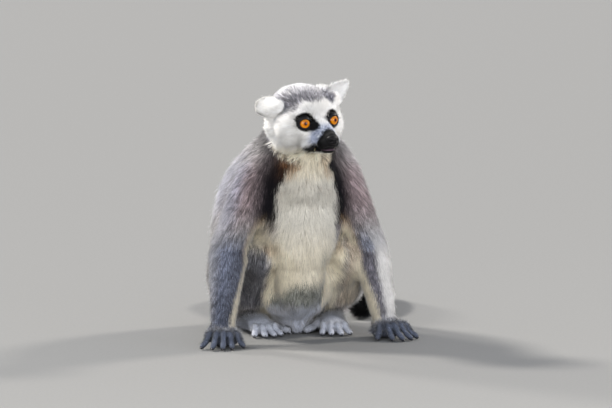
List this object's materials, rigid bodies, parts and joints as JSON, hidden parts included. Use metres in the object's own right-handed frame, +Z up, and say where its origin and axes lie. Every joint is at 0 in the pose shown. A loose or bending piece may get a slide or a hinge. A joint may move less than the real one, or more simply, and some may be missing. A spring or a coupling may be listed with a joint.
{
  "type": "ring-tailed lemur figure",
  "caption": "Still life-size ring-tailed lemur sitting hunched on its rump and hind feet, leaning on its arms, with its head turned to its left and its ringed tail looped behind it.",
  "frame": {"origin": "on the floor under the pelvis, on the flat that the animal sits on", "axes": "+Z up, -Y the way the body faces, +X the animal's own left"},
  "size_m": [0.3016, 0.5391, 0.307],
  "materials": {
    "white_coat": "short dense white fur",
    "grey_brown_coat": "soft grey-brown fur",
    "grey_coat": "soft grey fur",
    "hands_and_feet": "very short grey fur over dark skin",
    "ringed_tail_coat": "fluffy fur in black and white rings",
    "dark_bare_skin": "moist dark skin and very short black fur",
    "amber_eye": "wet and clear, with a dark pupil"
  },
  "bodies": {
    "root": {"head": "white_coat", "neck": "white_coat", "chest": "white_coat", "ear_left": "white_coat", "ear_right": "white_coat", "abdomen": "grey_brown_coat", "upper_arm_left": "grey_brown_coat", "upper_arm_right": "grey_brown_coat", "pelvis": "grey_coat", "forearm_left": "grey_coat", "forearm_right": "grey_coat", "thigh_left": "grey_coat", "thigh_right": "grey_coat", "shin_left": "grey_coat", "shin_right": "grey_coat", "hand_left": "hands_and_feet", "hand_right": "hands_and_feet", "foot_left": "hands_and_feet", "foot_right": "hands_and_feet", "tail_1": "ringed_tail_coat", "tail_2": "ringed_tail_coat", "tail_3": "ringed_tail_coat", "tail_4": "ringed_tail_coat", "tail_5": "ringed_tail_coat", "tail_6": "ringed_tail_coat", "muzzle": "dark_bare_skin", "nose": "dark_bare_skin", "jaw": "dark_bare_skin", "eye_left": "amber_eye", "eye_right": "amber_eye"}
  },
  "joints": []
}
